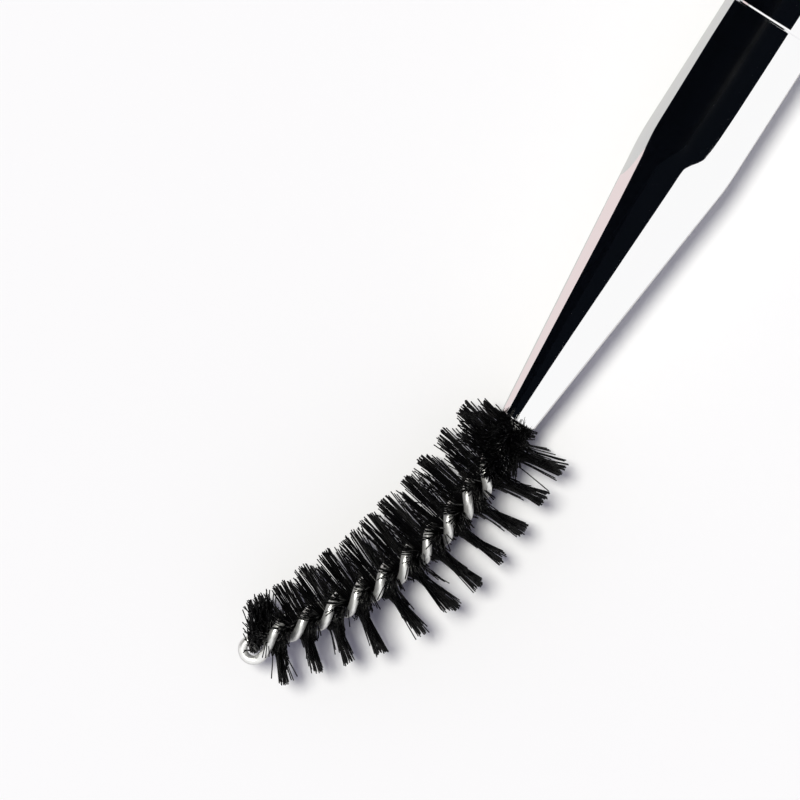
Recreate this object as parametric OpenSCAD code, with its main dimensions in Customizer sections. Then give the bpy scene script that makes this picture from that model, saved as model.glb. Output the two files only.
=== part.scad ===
// Spoolie brush: bristles twisted into a folded wire, held by a tapered ferrule on a metal handle.
// It lies on its side. +X runs along the handle towards its rounded end, and +Z is up.
// The head bends towards +Y in the level plane. The origin is on the handle's axis, halfway
// along its straight grip.

/* [Head] */
// Length of the head along the bent wire, from the ferrule's mouth to the end of the eye
head_len = 25.5; // [18:0.1:32]
// Diameter of the trimmed bristles next to the ferrule
head_d = 8.6; // [7:0.1:11]
// Diameter of the trimmed bristles at the tip
tip_d = 6.6; // [5:0.1:8.6]
// Length at the tip over which the bristles get shorter
tip_taper_len = 13; // [4:0.5:16]
// Angle that the head turns through on its way to the tip
head_bend = 53; // [10:1:70]
// Angle by which the wire leans away from the bend where it leaves the ferrule
exit_lean = 7.5; // [0:0.5:10]

/* [Wire] */
// Diameter of the wire
wire_d = 0.66; // [0.5:0.02:0.72]
// Length of the head that one full turn of the twist takes
turn_len = 4.1; // [3.6:0.05:5.2]
// Length of twisted wire inside the ferrule
stem_len = 12; // [8:0.5:16]
// Room between the two wires in the head, which the wad of filaments holds open
wad_gap = 0.64; // [0.3:0.02:0.7]
// Length over which the wires spread from the tight stem to the full wad
wad_lead = 2.6; // [1:0.1:5]
// Radius of the eye at the tip, to the middle of the wire
eye_r = 0.72; // [0.6:0.02:1]
// Distance of the eye's middle from the line of the twist, on the outside of the bend
eye_offset = 0.72; // [0:0.02:1]
// Length over which the twist opens into the eye
eye_lead = 1.7; // [1.2:0.1:2.4]

/* [Bristles] */
// Diameter of one filament
filament_d = 0.08; // [0.06:0.01:0.09]
// Filaments side by side in each half turn of the twist
filaments_per_half_turn = 20; // [8:1:20]
// Gap between a filament and each of the two wires that grip it
grip_gap = 0.06; // [0.03:0.01:0.1]
// Lean along the wire that draws the filaments into tufts outside the bend
tuft_lean = 5; // [0:0.5:6]
// Largest angle by which a filament is turned into the plane of the bend
tuft_turn = 10; // [0:1:12]
// Bare wire between the ferrule's mouth and the first filament
root_gap = 0.35; // [0.3:0.05:1]
// Bare wire between the last filament and the round of the eye
eye_gap = 0.35; // [0.3:0.05:1]

/* [Ferrule] */
// Outer diameter of the ferrule's mouth
mouth_d = 2.56; // [2.4:0.02:3]
// Outer diameter of the ferrule's barrel
barrel_d = 6.8; // [5.5:0.1:8]
// Length of the tapered part
cone_len = 20.6; // [18:0.1:30]
// Length of the straight barrel behind the taper
barrel_len = 10.8; // [7:0.1:16]
// Thickness of the ferrule's wall
ferrule_wall = 0.35; // [0.25:0.05:0.4]
// Radius that blends the taper into the barrel
knuckle_r = 18; // [6:1:24]
// Width of the small chamfer on the ferrule's edge at the handle
ferrule_chamfer = 0.04; // [0.02:0.01:0.1]

/* [Handle] */
// Length of the bevel on the handle's edge at the ferrule
bevel_len = 0.22; // [0.1:0.01:0.4]
// Slope of that bevel
bevel_angle = 30; // [20:1:45]
// Diameter of the handle's straight grip
grip_d = 8.6; // [8:0.1:11]
// Length over which the handle swells from the ferrule's diameter to the grip's
swell_len = 62; // [40:1:80]
// Length of the straight grip
grip_len = 36; // [20:1:60]
// Length of the rounded end
dome_len = 3.2; // [2:0.1:5]

/* [Fits] */
// Gap around the handle's tenon and around the resin in the ferrule
fit_gap = 0.02; // [0.01:0.01:0.05]
// Gap between the tenon's end and the start of the ferrule's taper
tenon_end_gap = 1; // [0.5:0.1:2]
// Depth of the resin's face below the ferrule's mouth
resin_recess = 0.2; // [0.1:0.05:0.5]
// Resin beyond the inner end of the wire
resin_cover = 2; // [1:0.1:4]

/* [Hidden] */

// Numbers of flat sides and steps that stand for round forms
round_sides = 40;
filament_sides = 8;
wire_sides = 8;
rings_per_turn = 10;
eye_steps = 8;
arc_steps = 8;
dome_steps = 12;
swell_steps = 12;

// The two wires of the twist, and the eye that joins them at the tip
wire_r = wire_d / 2;
stem_twist_r = wire_r + filament_d / 2 + grip_gap;
stem_core_r = stem_twist_r + wire_r;
stem_slope = stem_twist_r * 2 * PI / turn_len;
head_twist_r = (wad_gap + wire_d) / 2;
half_pitch = turn_len / 2;
eye_s = head_len - eye_r - wire_r;
easing_s = eye_s - eye_lead;

// The bend, a plain arc that starts with the lean
bend_r = head_len / (head_bend * PI / 180);

// The filaments, counted along the wire
bristle_end = eye_s - eye_gap;
filament_step = half_pitch / filaments_per_half_turn;
filament_count = floor((bristle_end - root_gap) / filament_step);
turn_count = ceil(filament_count / filaments_per_half_turn);

// The ferrule
mouth_r = mouth_d / 2;
barrel_r = barrel_d / 2;
bore_r = barrel_r - ferrule_wall;
ferrule_len = cone_len + barrel_len;
cone_angle = atan((barrel_r - mouth_r) / cone_len);
knuckle_x = cone_len + knuckle_r * tan(cone_angle / 2);
throat_r = mouth_r - ferrule_wall / cos(cone_angle);
bevel_depth = bevel_len * tan(bevel_angle);

// The handle
grip_r = grip_d / 2;
grip_start = ferrule_len + swell_len;
grip_end = grip_start + grip_len;
origin_x = (grip_start + grip_end) / 2;

function two_digits(n) = n < 10 ? str("0", n) : str(n);
function turn_name(i) = str("bristle_turn_", two_digits(i + 1));

// Along the wire, s is measured from the ferrule's mouth: positive out to the tip, negative inside.
// The mouth is at [0, 0, 0] until the whole brush is moved to its origin.
function bend_angle(s) = s < 0 ? 0 : head_bend * s / head_len - exit_lean;
function ahead(s) = [-cos(bend_angle(s)), sin(bend_angle(s)), 0];
function outward(s) = [-sin(bend_angle(s)), -cos(bend_angle(s)), 0];
function core_point(s) = s < 0
    ? [-s, 0, 0]
    : bend_r * [-sin(exit_lean) - sin(bend_angle(s)), cos(exit_lean) - cos(bend_angle(s)), 0];

// Goes smoothly from 0 to 1 while t does
function smooth(t) = let (u = min(1, max(0, t))) u * u * (3 - 2 * u);

// 0 in the twist, and 1 where the eye starts
function opening(s) = smooth((s - easing_s) / eye_lead);

// Distance from the middle of the twist to the middle of each wire
function twist_r(s) =
    stem_twist_r
        + (head_twist_r - stem_twist_r) * smooth(s / wad_lead)
        + (eye_r - head_twist_r) * opening(s);

// The twist is left-handed, and slows down so that the eye lies in the plane of the bend.
function twist_angle(s) =
    let (e = (s - easing_s) / eye_lead)
        e < 0
            ? 90 - 360 * e * eye_lead / turn_len
            : (90 * (1 + 2 * e) - 360 * e * eye_lead / turn_len) * pow(1 - e, 2);
function across(s, turn) = cos(turn) * outward(s) + [0, 0, sin(turn)];

// Middle of the gap between the two wires
function grip_point(s) = core_point(s) + eye_offset * opening(s) * outward(s);

// The wire's middle line: down the first leg, round the eye and back up the second leg
wire_steps = ceil((eye_s + stem_len) / (turn_len / rings_per_turn));
wire_stations = [for (i = [0 : wire_steps]) -stem_len + (eye_s + stem_len) * i / wire_steps];
wire_outs = concat(
    [for (i = [0 : wire_steps]) across(wire_stations[i], twist_angle(wire_stations[i]))],
    [
        for (j = [1 : eye_steps - 1])
            let (a = 180 * j / eye_steps)
                cos(a) * outward(eye_s) + sin(a) * ahead(eye_s)
    ],
    [for (i = [wire_steps : -1 : 0]) across(wire_stations[i], twist_angle(wire_stations[i]) + 180)]
);
wire_places = concat(
    wire_stations,
    [for (j = [1 : eye_steps - 1]) eye_s],
    [for (i = [wire_steps : -1 : 0]) wire_stations[i]]
);
wire_line = [
    for (i = [0 : len(wire_places) - 1])
        grip_point(wire_places[i]) + twist_r(wire_places[i]) * wire_outs[i]
];

// A ring of points round the wire at its point i, square to its middle line
function wire_ring(i) =
    let (
        run = wire_line[min(i + 1, len(wire_line) - 1)] - wire_line[max(i - 1, 0)],
        forward = run / norm(run),
        sideways = cross(forward, wire_outs[i]),
        side = sideways / norm(sideways),
        out = cross(side, forward)
    )
        [
            for (k = [0 : wire_sides - 1])
                let (a = 360 * k / wire_sides)
                    wire_line[i] + wire_r * (cos(a) * out + sin(a) * side)
        ];

module swept_rings(rings) {
    sides = len(rings[0]);
    last = len(rings) - 1;
    points = [for (ring = rings) for (p = ring) p];
    skin = [
        for (i = [0 : last - 1])
            for (k = [0 : sides - 1])
                let (
                    a = i * sides + k,
                    b = i * sides + (k + 1) % sides
                )
                    each [[a, a + sides, b], [b, a + sides, b + sides]]
    ];
    start_cap = [[for (k = [0 : sides - 1]) k]];
    end_cap = [[for (k = [sides - 1 : -1 : 0]) last * sides + k]];
    polyhedron(points, concat(skin, start_cap, end_cap));
}

// Turns a profile of [x, radius] points about the X axis
module turned(profile) {
    rotate([0, 90, 0])
        rotate_extrude($fn = round_sides)
            polygon([for (p = profile) [p[1], p[0]]]);
}

module at_origin() {
    translate([-origin_x, 0, 0]) children();
}

// The wire, folded in half and twisted
module twisted_wire() {
    color("#c9c9c4")
        at_origin()
            swept_rings([for (i = [0 : len(wire_line) - 1]) wire_ring(i)]);
}

// Trimmed radius of the bristles
function trim_r(s) =
    let (short = max(0, s - (eye_s - tip_taper_len)) / tip_taper_len)
        (head_d + (tip_d - head_d) * short) / 2;

// One straight filament, gripped in the wad between the two wires. From one to the next, the
// filaments go to and fro across the wad.
module filament(k) {
    s = root_gap + (k + 0.5) * filament_step;
    turn = twist_angle(s) + 90;
    flat_turn = turn - tuft_turn * sin(2 * turn);
    lean = tuft_lean * 2 * sin(turn) * abs(cos(turn)) * (1 - opening(s));
    wad_reach = twist_r(s) - wire_r - grip_gap - filament_d / 2;
    wad_place = wad_reach * sin(360 * k / filaments_per_half_turn);
    along = cos(lean) * across(s, flat_turn) + sin(lean) * ahead(s);
    translate(grip_point(s) + wad_place * across(s, twist_angle(s)))
        rotate([0, acos(along[2]), atan2(along[1], along[0])])
            cylinder(h = 2 * trim_r(s), d = filament_d, center = true, $fn = filament_sides);
}

// The filaments of one half turn of the twist
module bristle_turn(i) {
    first = i * filaments_per_half_turn;
    last = min(first + filaments_per_half_turn, filament_count) - 1;
    color("#161616") at_origin() {
        for (k = [first : last]) filament(k);
    }
}

// Arc of the ferrule's knuckle, from the taper to the barrel, at a depth below its outer face
function knuckle(depth) = [
    for (i = [0 : arc_steps])
        let (a = 90 + cone_angle * (1 - i / arc_steps))
            [knuckle_x, barrel_r - knuckle_r] + (knuckle_r - depth) * [cos(a), sin(a)]
];

// Half-round lip of the mouth, from the bore out to the taper
function lip() = [
    for (i = [0 : arc_steps])
        let (a = 180 * i / arc_steps)
            [
                ferrule_wall / 2 * (1 - sin(a)),
                (mouth_r + throat_r) / 2 - (mouth_r - throat_r) / 2 * cos(a)
            ]
];

module ferrule() {
    color("#dcdcde")
        at_origin()
            turned(concat(
                lip(),
                knuckle(0),
                [[ferrule_len - ferrule_chamfer, barrel_r], [ferrule_len, barrel_r - ferrule_chamfer]],
                [[ferrule_len, bore_r]],
                [for (i = [arc_steps : -1 : 0]) knuckle(ferrule_wall)[i]]
            ));
}

// Resin that fills the taper round the wire's stem
function resin_r(x) = throat_r + x * tan(cone_angle) - fit_gap;

module resin_plug() {
    resin_end = stem_len + resin_cover;
    stem_hole_end = stem_len + wire_r * sin(atan(stem_slope)) + fit_gap;
    color("#d8cfa8")
        at_origin()
            turned([
                [resin_recess, stem_core_r + fit_gap],
                [resin_recess, resin_r(resin_recess)],
                [resin_end, resin_r(resin_end)],
                [resin_end, 0],
                [stem_hole_end, 0],
                [stem_hole_end, stem_core_r + fit_gap]
            ]);
}

// Handle with a tenon in the ferrule, a slow swell, a straight grip and a rounded end
module handle() {
    tenon_r = bore_r - fit_gap;
    tenon_start = knuckle_x + tenon_end_gap;
    swell = [
        for (i = [1 : swell_steps])
            let (t = i / swell_steps)
                [ferrule_len + swell_len * t, barrel_r + (grip_r - barrel_r) * sin(90 * t)]
    ];
    dome = [
        for (i = [0 : dome_steps])
            let (a = 90 * i / dome_steps)
                [grip_end + dome_len * sin(a), grip_r * cos(a)]
    ];
    color("#dcdcde")
        at_origin()
            turned(concat(
                [[tenon_start, 0], [tenon_start, tenon_r], [ferrule_len, tenon_r]],
                [[ferrule_len, barrel_r - bevel_depth], [ferrule_len + bevel_len, barrel_r]],
                swell,
                dome
            ));
}

twisted_wire();
for (i = [0 : turn_count - 1]) {
    bristle_turn(i);
}
ferrule();
resin_plug();
handle();
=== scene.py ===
# A spoolie brush lying on a pale floor: black nylon filaments twisted into a folded wire,
# held by a tapered chrome ferrule on a chrome handle.
import bpy
import math
import random
import numpy as np
from mathutils import Matrix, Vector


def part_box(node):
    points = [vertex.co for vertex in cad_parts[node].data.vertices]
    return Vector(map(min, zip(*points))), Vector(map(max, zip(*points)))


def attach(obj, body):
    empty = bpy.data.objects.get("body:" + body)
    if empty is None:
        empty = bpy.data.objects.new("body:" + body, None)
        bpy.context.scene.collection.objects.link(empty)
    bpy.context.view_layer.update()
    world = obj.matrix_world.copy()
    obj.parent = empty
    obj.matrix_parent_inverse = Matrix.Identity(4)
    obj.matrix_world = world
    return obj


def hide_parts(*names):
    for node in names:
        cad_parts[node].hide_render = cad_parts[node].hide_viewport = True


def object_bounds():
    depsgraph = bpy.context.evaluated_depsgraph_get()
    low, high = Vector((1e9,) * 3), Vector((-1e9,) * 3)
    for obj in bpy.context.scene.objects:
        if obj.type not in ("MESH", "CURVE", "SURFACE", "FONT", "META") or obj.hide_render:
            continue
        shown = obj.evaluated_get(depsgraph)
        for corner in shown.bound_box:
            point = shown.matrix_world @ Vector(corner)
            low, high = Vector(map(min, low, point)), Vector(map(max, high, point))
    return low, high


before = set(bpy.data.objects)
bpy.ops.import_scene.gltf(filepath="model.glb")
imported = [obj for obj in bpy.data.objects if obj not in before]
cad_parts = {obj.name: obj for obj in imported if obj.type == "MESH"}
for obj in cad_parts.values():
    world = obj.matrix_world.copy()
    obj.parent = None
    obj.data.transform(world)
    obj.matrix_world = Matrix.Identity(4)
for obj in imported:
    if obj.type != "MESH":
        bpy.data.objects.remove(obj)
cadLow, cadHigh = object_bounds()
mm = 0.001
print("frame loaded, CAD box in mm", [round(v / mm, 2) for v in (*cadLow, *cadHigh)])

# the mouth of the ferrule and the floor are in metres, as the frame is, and the rest is in mm
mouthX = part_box("ferrule")[0].x
floorZ = cadLow.z
ferruleLength = (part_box("ferrule")[1].x - mouthX) / mm
handleEnd = (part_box("handle")[1].x - mouthX) / mm
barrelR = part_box("ferrule")[1].z / mm
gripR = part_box("handle")[1].z / mm


# small helpers

def unit(v):
    return v / np.linalg.norm(v)


def smoothStep(low, high, x):
    t = min(1.0, max(0.0, (x - low) / (high - low)))
    return t * t * (3 - 2 * t)


def roundAngles(sides):
    return np.linspace(0, 2 * math.pi, sides, endpoint=False)


# Points in mm from the middle of the ferrule's mouth, moved into the frame.
def inFrame(points):
    return np.asarray(points, float) * mm + np.array([mouthX, 0, 0])


def addToScene(name, data):
    thing = bpy.data.objects.new(name, data)
    bpy.context.scene.collection.objects.link(thing)
    return thing


def meshObject(name, points, faces, material):
    mesh = bpy.data.meshes.new(name)
    mesh.from_pydata(np.asarray(points, float).tolist(), [], faces)
    mesh.materials.append(material)
    return addToScene(name, mesh)


# A smooth piece of the brush, with its place along the wire as UVs if it has one.
def meshPiece(name, points, faces, material, uvs=None):
    piece = meshObject(name, points, faces, material)
    piece.data.validate()
    piece.data.shade_smooth()
    if uvs is not None:
        layer = piece.data.uv_layers.new(name="alongWire")
        layer.uv.foreach_set("vector", np.asarray(uvs, np.float32).ravel())
    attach(piece, "root")
    return piece


# A tube of quads through rings of points, closed by a cap at each end.
def tubeFaces(ringCount, sides, first=0):
    faces = []
    for i in range(ringCount - 1):
        a = first + i * sides
        for k in range(sides):
            n = (k + 1) % sides
            faces.append((a + k, a + n, a + sides + n, a + sides + k))
    last = first + (ringCount - 1) * sides
    faces.append(tuple(range(first + sides - 1, first - 1, -1)))
    faces.append(tuple(range(last, last + sides)))
    return faces


# Turns a profile of (x, radius) points in mm about the X axis. x is measured from the mouth.
# A profile that starts and ends on the axis gets a pole there, and any other is a closed ring.
def turnedPiece(name, profile, sides, material):
    solid = profile[0][1] == 0
    rings = profile[1:-1] if solid else profile
    points = [(x, r * math.cos(a), r * math.sin(a)) for x, r in rings for a in roundAngles(sides)]
    faces = []
    for i in range(len(rings) - (1 if solid else 0)):
        j = (i + 1) % len(rings)
        for k in range(sides):
            n = (k + 1) % sides
            faces.append((i * sides + k, j * sides + k, j * sides + n, i * sides + n))
    if solid:
        start, end, last = len(points), len(points) + 1, (len(rings) - 1) * sides
        points += [(profile[0][0], 0, 0), (profile[-1][0], 0, 0)]
        for k in range(sides):
            n = (k + 1) % sides
            faces += [(start, k, n), (last + n, last + k, end)]
    return meshPiece(name, inFrame(points), faces, material)


cornerStep = 0.02    # mm from a corner to the next point of a profile


# Points of a straight stretch, close together at its ends so that its reflections stay straight.
def straight(start, end, near=cornerStep, steps=12):
    length = math.dist(start, end)
    shares = [0, near / length, *np.linspace(0, 1, steps + 1)[1:-1], 1 - near / length, 1]
    return [(start[0] + (end[0] - start[0]) * t, start[1] + (end[1] - start[1]) * t) for t in shares]


def arc(centre, radius, startDeg, endDeg, steps):
    return [(centre[0] + radius * math.cos(math.radians(a)), centre[1] + radius * math.sin(math.radians(a)))
            for a in np.linspace(startDeg, endDeg, steps + 1)]


# materials

def setSockets(node, values):
    for name, value in values.items():
        node.inputs[name].default_value = value


def addNode(tree, kind, values=None, **settings):
    node = tree.nodes.new(kind)
    for name, setting in settings.items():
        setattr(node, name, setting)
    setSockets(node, values or {})
    return node


def newMaterial(name):
    material = bpy.data.materials.new(name)
    material.use_nodes = True
    return material, material.node_tree, material.node_tree.nodes["Principled BSDF"]


# Noise, which a stretch draws out into lines.
def noise(tree, place, values, stretch=None):
    pattern = addNode(tree, "ShaderNodeTexNoise", values)
    if stretch:
        mapping = addNode(tree, "ShaderNodeMapping", {"Scale": stretch})
        tree.links.new(place, mapping.inputs["Vector"])
        place = mapping.outputs["Vector"]
    tree.links.new(place, pattern.inputs["Vector"])
    return pattern.outputs["Fac"]


def blendColor(tree, shader, pattern, first, second):
    tone = addNode(tree, "ShaderNodeMix", data_type="RGBA")
    setSockets(tone, {"A": first, "B": second})
    tree.links.new(pattern, tone.inputs["Factor"])
    tree.links.new(tone.outputs["Result"], shader.inputs["Base Color"])


def blendRoughness(tree, shader, pattern, first, second):
    rough = addNode(tree, "ShaderNodeMapRange", {"To Min": first, "To Max": second})
    tree.links.new(pattern, rough.inputs["Value"])
    tree.links.new(rough.outputs["Result"], shader.inputs["Roughness"])


def addBump(tree, shader, pattern, strength, depth):
    bump = addNode(tree, "ShaderNodeBump", {"Strength": strength, "Distance": depth})
    tree.links.new(pattern, bump.inputs["Height"])
    tree.links.new(bump.outputs["Normal"], shader.inputs["Normal"])


chromeFinish = {
    "color": (0.95, 0.95, 0.955, 1),
    "roughness": (0.018, 0.045),
    "haze": {"Scale": 240, "Detail": 5, "Roughness": 0.6},    # left by polishing, per metre
    "lines": {"Scale": 9000, "Detail": 2},                    # hair lines round the piece
    "lineStretch": (1, 0.02, 0.02),
    "lineStrength": 0.012,
    "lineDepth": 0.00001,
}


def polishedChrome():
    material, tree, shader = newMaterial("polishedChrome")
    setSockets(shader, {"Base Color": chromeFinish["color"], "Metallic": 1})
    place = addNode(tree, "ShaderNodeTexCoord").outputs["Object"]
    haze = noise(tree, place, chromeFinish["haze"])
    blendRoughness(tree, shader, haze, *chromeFinish["roughness"])
    lines = noise(tree, place, chromeFinish["lines"], chromeFinish["lineStretch"])
    addBump(tree, shader, lines, chromeFinish["lineStrength"], chromeFinish["lineDepth"])
    return material


wireFinish = {
    "color": (0.93, 0.93, 0.91, 1),
    "darkColor": (0.72, 0.72, 0.71, 1),
    "colorRange": {"From Min": 0.3, "From Max": 0.6},         # of the noise, from dark to light
    "roughness": (0.42, 0.24),
    "metallic": 0.7,                                          # the rest is the dull bloom of drawn wire
    "lines": {"Scale": 1, "Detail": 4, "Roughness": 0.65},
    "lineStretch": (60, 4, 1),                                # lines round the wire, waves along it per mm
    "lineStrength": 0.25,
    "lineDepth": 0.00002,
}


def drawnSteel():
    material, tree, shader = newMaterial("drawnSteel")
    setSockets(shader, {"Metallic": wireFinish["metallic"]})
    place = addNode(tree, "ShaderNodeUVMap", uv_map="alongWire").outputs["UV"]
    lines = noise(tree, place, wireFinish["lines"], wireFinish["lineStretch"])
    spread = addNode(tree, "ShaderNodeMapRange", wireFinish["colorRange"])
    tree.links.new(lines, spread.inputs["Value"])
    blendColor(tree, shader, spread.outputs["Result"], wireFinish["darkColor"], wireFinish["color"])
    blendRoughness(tree, shader, lines, *wireFinish["roughness"])
    addBump(tree, shader, lines, wireFinish["lineStrength"], wireFinish["lineDepth"])
    return material


nylonFinish = {
    "color": (0.0008, 0.0008, 0.001, 1),
    "fadedColor": (0.0035, 0.0035, 0.004, 1),
    "roughness": (0.2, 0.38),
    "specular": 0.075,
    "patches": {"Scale": 1400, "Detail": 3},
}


def blackNylon():
    material, tree, shader = newMaterial("blackNylon")
    setSockets(shader, {"Specular IOR Level": nylonFinish["specular"]})
    place = addNode(tree, "ShaderNodeTexCoord").outputs["Object"]
    patches = noise(tree, place, nylonFinish["patches"])
    blendColor(tree, shader, patches, nylonFinish["color"], nylonFinish["fadedColor"])
    blendRoughness(tree, shader, patches, *nylonFinish["roughness"])
    return material


resinFinish = {
    "color": (0.55, 0.47, 0.26, 1),
    "cloudColor": (0.70, 0.63, 0.42, 1),
    "roughness": 0.3,
    "clouds": {"Scale": 900, "Detail": 4},
    "bumpStrength": 0.3,
    "bumpDepth": 0.00005,
}


def setResin():
    material, tree, shader = newMaterial("setResin")
    setSockets(shader, {"Roughness": resinFinish["roughness"]})
    place = addNode(tree, "ShaderNodeTexCoord").outputs["Object"]
    clouds = noise(tree, place, resinFinish["clouds"])
    blendColor(tree, shader, clouds, resinFinish["color"], resinFinish["cloudColor"])
    addBump(tree, shader, clouds, resinFinish["bumpStrength"], resinFinish["bumpDepth"])
    return material


chromeMaterial = polishedChrome()
steelMaterial = drawnSteel()
nylonMaterial = blackNylon()
resinMaterial = setResin()
print("materials made")


# the bent line of the head, in mm. s is measured along it from the mouth of the ferrule

head = {
    "length": 25.5,
    "bendDeg": 53,
    "exitLeanDeg": 7.5,         # the wire leaves the ferrule a little away from the bend
    "turnLength": 4.1,
    "wireDiameter": 0.66,
    "stemTwistRadius": 0.43,    # from the twist's middle to the middle of each wire
    "wadGap": 0.64,             # room between the wires, which the filaments hold open
    "wadLead": 2.6,
    "eyeRadius": 0.72,
    "eyeOffset": 0.72,
    "eyeLead": 1.7,
}
wireR = head["wireDiameter"] / 2
headTwistR = (head["wadGap"] + head["wireDiameter"]) / 2
halfTurn = head["turnLength"] / 2
eyeS = head["length"] - head["eyeRadius"] - wireR
easingS = eyeS - head["eyeLead"]
bendR = head["length"] / math.radians(head["bendDeg"])
exitLean = math.radians(head["exitLeanDeg"])
upward = np.array([0.0, 0.0, 1.0])


def bendAngle(s):
    return 0.0 if s < 0 else math.radians(head["bendDeg"]) * s / head["length"] - exitLean


def ahead(s):
    b = bendAngle(s)
    return np.array([-math.cos(b), math.sin(b), 0.0])


def outward(s):
    b = bendAngle(s)
    return np.array([-math.sin(b), -math.cos(b), 0.0])


def corePoint(s):
    if s < 0:
        return np.array([-s, 0.0, 0.0])
    b = bendAngle(s)
    return bendR * np.array([-math.sin(exitLean) - math.sin(b), math.cos(exitLean) - math.cos(b), 0.0])


# 0 in the twist, and 1 where the eye starts.
def opening(s):
    return smoothStep(easingS, eyeS, s)


def twistRadius(s):
    stem = head["stemTwistRadius"]
    spread = (headTwistR - stem) * smoothStep(0, head["wadLead"], s)
    return stem + spread + (head["eyeRadius"] - headTwistR) * opening(s)


# The twist is left-handed, and slows down so that the eye lies in the plane of the bend.
def twistAngle(s):
    past = (s - easingS) / head["eyeLead"]
    turned = 360 * past * head["eyeLead"] / head["turnLength"]
    if past < 0:
        return math.radians(90 - turned)
    return math.radians((90 * (1 + 2 * past) - turned) * (1 - past) ** 2)


def across(s, angle):
    return math.cos(angle) * outward(s) + math.sin(angle) * upward


# The middle of the gap between the two wires.
def gripPoint(s):
    return corePoint(s) + head["eyeOffset"] * opening(s) * outward(s)


# the wire, folded in half and twisted, as one tube

wire = {
    "stemLength": 12,           # inside the ferrule
    "sides": 24,
    "ringsPerTurn": 44,
    "eyeSteps": 36,
}


# Stations along the wire's two legs and round its eye, each with the way out from the twist's middle.
def wireStations():
    reach = eyeS + wire["stemLength"]
    steps = math.ceil(reach / (head["turnLength"] / wire["ringsPerTurn"]))
    legs = np.linspace(-wire["stemLength"], eyeS, steps + 1)
    stations = [(s, across(s, twistAngle(s))) for s in legs]
    for a in np.linspace(0, math.pi, wire["eyeSteps"] + 1)[1:-1]:
        stations.append((eyeS, math.cos(a) * outward(eyeS) + math.sin(a) * ahead(eyeS)))
    return stations + [(s, across(s, twistAngle(s) + math.pi)) for s in legs[::-1]]


# Round the wire in turns and along it in mm, for each corner of the tube's faces.
def wireUvs(middles):
    sides = wire["sides"]
    length = np.concatenate([[0], np.cumsum(np.linalg.norm(np.diff(middles, axis=0), axis=1))])
    uvs = []
    for i in range(len(middles) - 1):
        for k in range(sides):
            uvs += [(k / sides, length[i]), ((k + 1) / sides, length[i]),
                    ((k + 1) / sides, length[i + 1]), (k / sides, length[i + 1])]
    return uvs + [(0.5, 0)] * (2 * sides)    # the two caps are hidden


def makeWire():
    stations = wireStations()
    middles = np.array([gripPoint(s) + twistRadius(s) * out for s, out in stations])
    points = []
    for middle, run, (s, out) in zip(middles, np.gradient(middles, axis=0), stations):
        forward = unit(run)
        side = unit(np.cross(forward, out))
        square = np.cross(side, forward)
        points += [middle + wireR * (math.cos(a) * square + math.sin(a) * side)
                   for a in roundAngles(wire["sides"])]
    faces = tubeFaces(len(middles), wire["sides"])
    piece = meshPiece("twistedWire", inFrame(points), faces, steelMaterial, wireUvs(middles))
    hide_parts("twisted_wire")


makeWire()
print("wire made")


# the ferrule's outside, which the filaments stay clear of

ferrule = {
    "mouthDiameter": 2.56,
    "coneLength": 20.6,
    "wall": 0.35,
    "knuckleRadius": 18,
    "coneSteps": 30,
    "knuckleSteps": (32, 12),   # outside and inside
    "barrelSteps": 16,
    "lipSteps": 12,
    "edge": 0.04,               # rounding where it meets the handle
    "edgeSteps": 8,
    "sides": 192,
}
mouthR = ferrule["mouthDiameter"] / 2
coneAngle = math.atan((barrelR - mouthR) / ferrule["coneLength"])
knuckleX = ferrule["coneLength"] + ferrule["knuckleRadius"] * math.tan(coneAngle / 2)
throatR = mouthR - ferrule["wall"] / math.cos(coneAngle)


# the bristles. Each filament is gripped at its middle and has two ends

bristles = {
    "seed": 11,
    "diameter": 0.08,
    "perHalfTurn": 70,
    "clump": (1, 5),            # filaments that stay together
    "clumpSpread": 0.08,        # mm along the wire, to either side
    "uprights": 58,             # more at each half turn, across the plane of the bend
    "uprightPlace": 0.15,       # how far they stray from between the tufts, as a share of a half turn
    "uprightSpreadDeg": 28,
    "uprightLeanDeg": 4,
    "uprightShow": 1.1,         # mm that they may reach over beside the wire
    "rootDiameter": 8.6,
    "tipDiameter": 6.6,
    "tipTaper": 13,
    "rootGap": 0.35,
    "eyeGap": 1.2,
    "bunching": 0.55,           # how far the filaments turn into the plane of the bend
    "neckRadius": 1.9,          # where the tufts outside the bend are narrowest
    "neckWidth": 0.42,          # share of the wire that they leave
    "outsideWidth": 0.62,
    "insideWidth": 0.86,
    "insideClump": 0.6,         # inside the bend the clumps part less, and single filaments more
    "insideLoose": 2.6,
    # one value for each tuft, from the ferrule to the tip: lean in degrees, towards the ferrule
    # outside the bend and towards the tip inside it, and length as a share of the trimmed radius
    "outsideLean": (-7, 9, 11, 8, 6.5, 6.5, 7.5, 2.5, -7, -7, -4.5, -7.5),
    "insideLean": (-22, -15, -9, -2, -2, 2, 1.5, 2.5, 5.5, 8.5, 9, 13),
    "outsideReach": (0.97, 1.0, 1.04, 1.03, 1.03, 1.05, 1.09, 1.13, 1.08, 1.0, 0.98, 1.03),
    "insideReach": (0.6, 0.89, 0.98, 1.01, 1.0, 1.0, 0.98, 0.96, 0.96, 0.95, 0.87, 0.79),
    "clumpDeg": 3.6,
    "ownDeg": 0.9,
    "strayShare": 0.012,
    "strayDeg": 13,
    "longest": 1.02,            # share of the trimmed radius
    "uneven": 0.045,            # share by which the ends fall short
    "curl": 0.018,
    "ringShares": (0.12, 0.24, 0.38, 0.54, 0.7, 0.85, 1),
    "sides": 6,
    "cutStep": 0.95,            # cuts that bring a long filament back into the brush's own box
    "cuts": 20,
}
rng = random.Random(bristles["seed"])
filamentR = bristles["diameter"] / 2
bristleEnd = eyeS - bristles["eyeGap"]
turnCount = math.ceil((bristleEnd - bristles["rootGap"]) / halfTurn)
lastTuft = len(bristles["outsideLean"]) - 1
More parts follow.
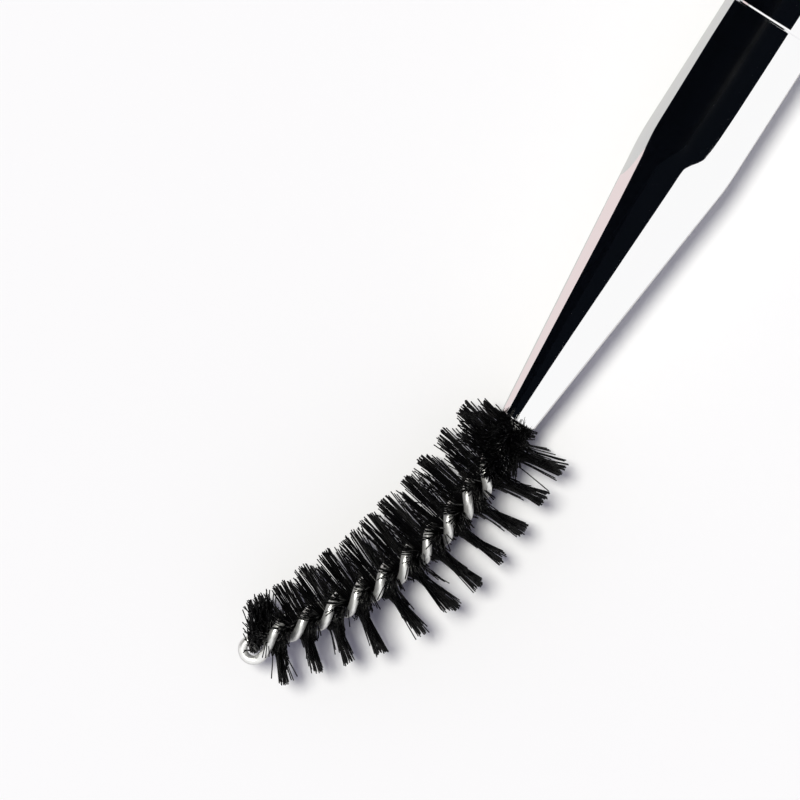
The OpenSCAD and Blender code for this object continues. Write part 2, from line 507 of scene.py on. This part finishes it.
boxLow = (np.array(cadLow) - np.array([mouthX, 0, 0])) / mm + filamentR
boxHigh = (np.array(cadHigh) - np.array([mouthX, 0, 0])) / mm - filamentR

# shorter one-ended filaments: how many, place along the head, degrees round the wire
# (0 out of the bend, 90 up, 180 into it), lean towards the ferrule in degrees, and reach
fluff = {
    "root": (
        (340, (0.15, 3.7), (55, 150), (-40, 14), (1.0, 2.3)),
        (60, (0.6, 3.2), (150, 200), (-8, 14), (2.2, 3.6)),
        (18, (0.1, 0.6), (150, 185), (8, 24), (1.3, 2.0)),
        (60, (0.9, 2.8), (-30, 55), (-42, -6), (0.9, 1.6)),
        (26, (0.3, 1.5), (2, 35), (-66, -56), (2.4, 3.1)),
        (60, (0.3, 3.5), (200, 285), (-20, 12), (1.0, 2.6)),
        (130, (0.1, 1.4), (-45, 60), (-12, 18), (0.8, 1.4)),
        (170, (0.15, 1.7), (58, 118), (-25, 4), (0.8, 1.9)),
        (110, (0.04, 0.5), (45, 135), (-8, 15), (0.5, 1.1)),
        (110, (1.7, 3.1), (64, 114), (-42, 42), (1.5, 2.3)),
    ),
    "eye": (
        (110, (22.7, 24.3), (112, 192), (-2, 15), (2.4, 3.2)),
        (50, (24.05, 24.7), (104, 165), (2, 18), (1.4, 3.0)),
        (50, (22.7, 24.3), (192, 262), (-5, 15), (2.2, 3.0)),
    ),
    "curl": 0.09,
    "startSpread": 0.3,         # mm across the wires
}


def trimRadius(s):
    taper = max(0.0, s - (eyeS - bristles["tipTaper"])) / bristles["tipTaper"]
    return (bristles["rootDiameter"] + (bristles["tipDiameter"] - bristles["rootDiameter"]) * taper) / 2


# Keeps a point of a filament outside the ferrule's wall.
def clearOfFerrule(point):
    x = point[0]
    outside = mouthR + max(x, 0) * math.tan(coneAngle) + filamentR
    if x > -filamentR and math.hypot(point[1], point[2]) < outside:
        return np.array([-filamentR, point[1], point[2]])
    return point


# One end of a filament, from the wires out. It is cut where it would leave the brush's own box.
def filamentEnd(s, start, direction, reach, curl, alongAt):
    sideways = np.cross(direction, ahead(s))
    bendAlong = rng.gauss(0, curl) * reach
    bendSide = rng.gauss(0, curl) * reach
    for cut in range(bristles["cuts"]):
        part = []
        for share in bristles["ringShares"]:
            r = reach * share
            along = alongAt(r) + bendAlong * share * share
            part.append(start + direction * r + sideways * bendSide * share * share + ahead(s) * along)
        if np.all(part > boxLow) and np.all(part < boxHigh):
            break
        reach *= bristles["cutStep"]
    return [clearOfFerrule(point) for point in part]


# How wide a tuft is at a radius, as a share of the wire that it leaves.
def tuftWidth(r, half, outside):
    if not outside:
        return 1 - (1 - bristles["insideWidth"]) * r / half
    neck, narrow = bristles["neckRadius"], bristles["neckWidth"]
    if r < neck:
        return 1 - (1 - narrow) * smoothStep(0, neck, r)
    return narrow + (bristles["outsideWidth"] - narrow) * (r - neck) / (half - neck)


# The middle line of one filament, gripped at s. The shift is its turn and its two leans in degrees.
# Tufts are counted from the tip, and the last half tuft at the ferrule is drawn to its neighbour.
def filamentLine(s, bunching, shift, show=math.inf):
    halfTurns = (easingS - s) / halfTurn
    tuft = max(0, round(halfTurns))
    offset = s - (easingS - min(lastTuft - 1, tuft) * halfTurn)
    plain = math.pi * (halfTurns - tuft) if s < easingS else twistAngle(s) - math.pi / 2
    own = bristles["strayDeg"] if rng.random() < bristles["strayShare"] else bristles["ownDeg"]
    turned = plain - bunching * math.sin(2 * plain) / 2 + math.radians(shift[0] + rng.gauss(0, own))
    inPlane = abs(math.cos(turned))
    half = trimRadius(s)
    room = twistRadius(s) - wireR - bristles["diameter"]
    start = gripPoint(s) + room * rng.uniform(-1, 1) * across(s, twistAngle(s))
    ways = ((1, "outside", shift[1], own),
            (-1, "inside", shift[2] * bristles["insideClump"], own * bristles["insideLoose"]))
    ends = []
    for way, side, clumpLean, loose in ways:
        tuftLean = way * bristles[side + "Lean"][lastTuft - tuft] * inPlane
        lean = tuftLean + clumpLean + rng.gauss(0, loose)
        share = bristles[side + "Reach"][lastTuft - tuft]
        fallShort = abs(rng.gauss(0, bristles["uneven"]))
        reach = half * (1 + (share - 1) * inPlane ** 2) * (bristles["longest"] - fallShort)
        reach = min(reach, show / inPlane)

        def alongAt(r):
            drawnIn = inPlane * offset * (tuftWidth(r, half, way == 1) - 1)
            return drawnIn - math.tan(math.radians(lean)) * r

        ends.append(filamentEnd(s, start, way * across(s, turned), reach, bristles["curl"], alongAt))
    return ends[1][::-1] + [start] + ends[0]


def fluffLine(span, around, leans, reaches):
    s = rng.uniform(*span)
    direction = across(s, math.radians(rng.uniform(*around)))
    lean = math.tan(math.radians(rng.uniform(*leans)))
    start = gripPoint(s) + rng.uniform(-fluff["startSpread"], fluff["startSpread"]) * outward(s)
    reach = rng.uniform(*reaches) / math.hypot(1, lean)
    return [start] + filamentEnd(s, start, direction, reach, fluff["curl"], lambda r: -lean * r)


# A tube along a line of points, with rings square to it.
def filamentTube(line):
    line = np.array(line)
    tangents = np.gradient(line, axis=0)
    helper = upward if abs(unit(tangents[0])[2]) < 0.8 else np.array([1.0, 0, 0])    # not along the tube
    rings = []
    for point, tangent in zip(line, tangents):
        tangent = unit(tangent)
        u = unit(np.cross(helper, tangent))
        v = np.cross(tangent, u)
        helper = v
        rings += [point + filamentR * (math.cos(a) * u + math.sin(a) * v)
                  for a in roundAngles(bristles["sides"])]
    return rings


def onHead(s):
    return min(max(s, bristles["rootGap"]), bristleEnd)


# Filaments in clumps, spread over a stretch of the wire.
def clumpLines(low, high):
    count = round(bristles["perHalfTurn"] * (high - low) / halfTurn)
    lines = []
    while len(lines) < count:
        size = rng.randint(*bristles["clump"])
        middle = low + (high - low) * min(1, (len(lines) + size * rng.random()) / count)
        shift = [rng.gauss(0, bristles["clumpDeg"]) for k in range(3)]
        for k in range(size):
            s = onHead(middle + rng.uniform(-bristles["clumpSpread"], bristles["clumpSpread"]))
            lines.append(filamentLine(s, bristles["bunching"], shift))
    return lines


# Filaments that stand up from the wires, between two tufts.
def uprightLines(low):
    between = easingS + halfTurn * (math.floor((low - easingS) / halfTurn) + 0.5)
    spreads = [bristles[key] for key in ("uprightSpreadDeg", "uprightLeanDeg", "uprightLeanDeg")]
    lines = []
    for k in range(bristles["uprights"]):
        s = onHead(between + rng.gauss(0, bristles["uprightPlace"]) * halfTurn)
        shift = [rng.gauss(0, spread) for spread in spreads]
        lines.append(filamentLine(s, 0, shift, bristles["uprightShow"]))
    return lines


def makeTurn(index):
    low = bristles["rootGap"] + index * halfTurn
    lines = clumpLines(low, min(low + halfTurn, bristleEnd)) + uprightLines(low)
    extra = fluff["root"] if index == 0 else fluff["eye"] if index == turnCount - 1 else ()
    for number, *ranges in extra:
        lines += [fluffLine(*ranges) for k in range(number)]
    points, faces = [], []
    for line in lines:
        faces += tubeFaces(len(line), bristles["sides"], len(points))
        points += filamentTube(line)
    piece = meshPiece(f"bristleTurn{index + 1:02d}", inFrame(points), faces, nylonMaterial)
    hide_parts(f"bristle_turn_{index + 1:02d}")


for index in range(turnCount):
    makeTurn(index)
print("bristles made,", turnCount, "half turns")


# the ferrule, drawn to a taper with a rolled lip at its mouth

def knuckle(depth, steps):
    middle = (knuckleX, barrelR - ferrule["knuckleRadius"])
    return arc(middle, ferrule["knuckleRadius"] - depth, 90 + math.degrees(coneAngle), 90, steps)


def makeFerrule():
    wall = ferrule["wall"]
    edge = ferrule["edge"]
    lip = [(wall / 2 * (1 - math.sin(a)), (mouthR + throatR) / 2 - (mouthR - throatR) / 2 * math.cos(a))
           for a in np.linspace(0, math.pi, ferrule["lipSteps"] + 1)]
    outside = knuckle(0, ferrule["knuckleSteps"][0])
    inside = knuckle(wall, ferrule["knuckleSteps"][1])
    rim = arc((ferruleLength - edge, barrelR - edge), edge, 90, 0, ferrule["edgeSteps"])
    bore = (ferruleLength, barrelR - wall)
    profile = lip[:-1] + straight(lip[-1], outside[0], steps=ferrule["coneSteps"])
    profile += outside[1:-1] + straight(outside[-1], rim[0], steps=ferrule["barrelSteps"])
    profile += rim[1:] + [(bore[0], bore[1] + cornerStep)]
    profile += straight(bore, inside[-1]) + inside[-2::-1]
    piece = turnedPiece("ferruleShell", profile, ferrule["sides"], chromeMaterial)
    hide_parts("ferrule")


makeFerrule()
print("ferrule made")


# the handle: a tenon in the ferrule, a slow swell, a straight grip and a rounded end

handle = {
    "swellLength": 62,
    "swellSteps": 60,
    "gripSteps": 16,
    "domeLength": 3.2,
    "domeSteps": 40,
    "fitGap": 0.02,
    "tenonGap": 1,
    "tenonBevel": 0.1,
    "shoulderSteps": 3,
    "bevelLength": 0.22,        # on its edge at the ferrule
    "bevelDeg": 30,
    "afterBevel": 1.06,         # place of the next ring, in bevel lengths
    "sides": 192,
}


def tenonProfile():
    radius = barrelR - ferrule["wall"] - handle["fitGap"]
    start = knuckleX + handle["tenonGap"]
    bevel = handle["tenonBevel"]
    side = straight((start + bevel + cornerStep, radius), (ferruleLength, radius))
    return [(start, 0), (start, radius - bevel), (start + bevel, radius)] + side


def makeHandle():
    bevel = handle["bevelLength"]
    shoulder = barrelR - bevel * math.tan(math.radians(handle["bevelDeg"]))
    start = bevel / handle["swellLength"]
    shares = (start, handle["afterBevel"] * start, *np.linspace(0, 1, handle["swellSteps"] + 1)[1:])
    swell = [(ferruleLength + handle["swellLength"] * t,
              barrelR + (gripR - barrelR) * math.sin(math.pi / 2 * t)) for t in shares]
    rim = straight((ferruleLength, shoulder), swell[0], cornerStep / 2, handle["shoulderSteps"])
    domeStart = handleEnd - handle["domeLength"]
    dome = [(domeStart + handle["domeLength"] * math.sin(a), gripR * math.cos(a))
            for a in np.linspace(0, math.pi / 2, handle["domeSteps"] + 1)[:-1]]
    grip = straight(swell[-1], dome[0], steps=handle["gripSteps"])
    profile = tenonProfile() + rim + swell[1:] + grip[1:-1] + dome + [(handleEnd, 0)]
    piece = turnedPiece("handleBody", profile, handle["sides"], chromeMaterial)
    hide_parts("handle")


makeHandle()
print("handle made")


# the resin stays as the CAD has it, with its own finish

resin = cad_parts["resin_plug"]
resin.data.materials.clear()
resin.data.materials.append(resinMaterial)
print("resin finished")


# camera: above the brush, with the handle's end a little nearer

view = {
    "distance": 250,            # mm from the mouth
    "tiltDeg": 9,
    "rollDeg": 57.68,
    "mouthPixel": (517.6, 420.5),
    "pixelSize": 0.067,         # mm at the mouth
    "imageSize": 800,
    "sensor": 36,
    "clip": (0.005, 20),        # metres
}


def makeCamera():
    tilt = math.radians(view["tiltDeg"])
    roll = math.radians(view["rollDeg"])
    back = np.array([math.sin(tilt), 0, math.cos(tilt)])
    flatX = np.array([math.cos(tilt), 0, -math.sin(tilt)])
    flatY = np.array([0.0, 1.0, 0.0])
    right = math.cos(roll) * flatX - math.sin(roll) * flatY
    up = math.sin(roll) * flatX + math.cos(roll) * flatY
    middle = view["imageSize"] / 2
    place = back * view["distance"]
    place = place + right * (middle - view["mouthPixel"][0]) * view["pixelSize"]
    place = place + up * (view["mouthPixel"][1] - middle) * view["pixelSize"]
    data = bpy.data.cameras.new("camera")
    data.sensor_width = view["sensor"]
    data.lens = view["sensor"] * view["distance"] / (view["imageSize"] * view["pixelSize"])
    data.clip_start, data.clip_end = view["clip"]
    camera = addToScene("camera", data)
    rows = [(right[i], up[i], back[i], inFrame(place)[i]) for i in range(3)]
    camera.matrix_world = Matrix([*rows, (0, 0, 0, 1)])
    bpy.context.scene.camera = camera


makeCamera()
print("camera placed")


# floor, light and the cards that polished metal reflects. Places are in mm

studio = {
    "floorColor": (0.94, 0.94, 0.94, 1),
    # the floor's colour where metal reflects it: a painted grey reflection, darker than the floor itself
    "paintedFloorReflection": (0.62, 0.62, 0.61, 1),
    "floorRoughness": 0.9,
    "floorSize": 4,             # metres
    "keyStrength": 2.68,
    "keyColor": (1.0, 0.995, 0.93),
    "keyAngleDeg": 15,
    "keyFrom": (0.6, 0.8),      # across the floor, from the object towards the light
    "keyHeightDeg": 74,
    "fillColor": (0.215, 0.21, 0.275, 1),
    "backColor": (1, 1, 1, 1),
    "cardHeight": 100,
    "darkColor": (0.003, 0.004, 0.006, 1),
    # the dark card's outline from above, and the line on the floor that its wall stands on or over
    "darkRoof": ((240, -92), (24, -92), (19.1, -90), (17.8, -88), (16.5, -85.5), (15.7, -82.5), (15.2, -79),
                 (14.8, -74), (14.2, -68), (11.5, -57.5), (6.2, -32), (2.4, -20), (0.5, -16.4), (-3.6, -15),
                 (-9, -14.5), (-12.5, -12), (-19.4, -5.5), (-36, 19), (-60, 55), (-60, 300), (240, 300)),
    "darkFoot": ((-80, 113, 9), (-38, 113, 9), (-21, 113, 0), (9, 43, 0), (16, 28, 0), (21, 19.5, 0),
                 (28, 15, 0), (240, 12, 0)),
    "whiteCard": (-5, 160, -6, 3.1),    # from and to along the handle, place beside it, and top
    "whiteColor": (1, 1, 1, 1),
    "blushCard": ((17, 5), (14, 60), (-20, 140), (-60, 140), (-38, 60), (-10, 14), (-3, 5)),
    "blushColor": (0.83, 0.715, 0.71, 1),
    "blushLift": 0.02,          # above the floor
}
floorLow = floorZ / mm


def makeFloor():
    half = studio["floorSize"] / 2
    material, tree, shader = newMaterial("paleFloor")
    setSockets(shader, {"Roughness": studio["floorRoughness"], "Specular IOR Level": 0})
    rays = addNode(tree, "ShaderNodeLightPath")
    # Reflections see the floor painted grey, a painted reflection tone, while the camera sees it pale.
    blendColor(tree, shader, rays.outputs["Is Glossy Ray"], studio["floorColor"], studio["paintedFloorReflection"])
    corners = [(-half, -half, floorZ), (half, -half, floorZ), (half, half, floorZ), (-half, half, floorZ)]
    meshObject("floor", corners, [(0, 1, 2, 3)], material)


def makeKey():
    data = bpy.data.lights.new("keyLight", "SUN")
    data.energy = studio["keyStrength"]
    data.color = studio["keyColor"]
    data.angle = math.radians(studio["keyAngleDeg"])
    fromX, fromY = studio["keyFrom"]
    tilt = math.radians(90 - studio["keyHeightDeg"])
    addToScene("keyLight", data).rotation_euler = (tilt, 0, math.atan2(fromY, fromX) + math.pi / 2)


# White for the camera and for what metal and glass show, and a violet-grey fill for the rest.
def makeWorld():
    world = bpy.data.worlds.new("studioWorld")
    world.use_nodes = True
    tree = world.node_tree
    fill = tree.nodes["Background"]
    setSockets(fill, {"Color": studio["fillColor"]})
    white = addNode(tree, "ShaderNodeBackground", {"Color": studio["backColor"]})
    rays = addNode(tree, "ShaderNodeLightPath")
    seen = addNode(tree, "ShaderNodeMath", operation="MAXIMUM")
    through = addNode(tree, "ShaderNodeMath", operation="MAXIMUM")
    mix = addNode(tree, "ShaderNodeMixShader")
    tree.links.new(rays.outputs["Is Camera Ray"], seen.inputs[0])
    tree.links.new(rays.outputs["Is Glossy Ray"], seen.inputs[1])
    tree.links.new(seen.outputs[0], through.inputs[0])
    tree.links.new(rays.outputs["Is Transmission Ray"], through.inputs[1])
    tree.links.new(through.outputs[0], mix.inputs[0])
    tree.links.new(fill.outputs[0], mix.inputs[1])
    tree.links.new(white.outputs[0], mix.inputs[2])
    tree.links.new(mix.outputs[0], tree.nodes["World Output"].inputs["Surface"])
    bpy.context.scene.world = world


# Only mirror reflections see a card.
def makeCard(name, points, faces, color, glow):
    material, tree, shader = newMaterial(name)
    setSockets(shader, {"Base Color": (0, 0, 0, 1) if glow else color, "Roughness": 1,
                        "Specular IOR Level": 0, "Emission Color": color, "Emission Strength": glow})
    card = meshObject(name, inFrame(points), faces, material)
    card.visible_camera = False
    card.visible_diffuse = False
    card.visible_shadow = False
    card.visible_transmission = False


# A folded dark card over and beside the brush makes the black band in the chrome.
def makeDarkCard():
    high = studio["cardHeight"]
    roof = studio["darkRoof"]
    foot = [(x, y, floorLow + up) for x, y, up in studio["darkFoot"]]
    points = [(x, y, high) for x, y in roof]
    faces = [tuple(range(len(roof)))]
    for (ax, ay, az), (bx, by, bz) in zip(foot, foot[1:]):
        first = len(points)
        points += [(ax, ay, az), (bx, by, bz), (bx, by, high), (ax, ay, high)]
        faces.append((first, first + 1, first + 2, first + 3))
    makeCard("darkCard", points, faces, studio["darkColor"], 0)


# Two small pale cards: one hides the grey floor from the chrome, and one blushes its far edge.
def makePaleCards():
    start, end, y, top = studio["whiteCard"]
    white = [(start, y, floorLow), (end, y, floorLow), (end, y, top), (start, y, top)]
    makeCard("whiteCard", white, [(0, 1, 2, 3)], studio["whiteColor"], 1)
    blush = [(x, y, floorLow + studio["blushLift"]) for x, y in studio["blushCard"]]
    makeCard("blushCard", blush, [tuple(range(len(blush)))], studio["blushColor"], 1)


makeFloor()
makeKey()
makeWorld()
makeDarkCard()
makePaleCards()
bpy.context.scene.view_settings.view_transform = "Standard"
print("studio made")
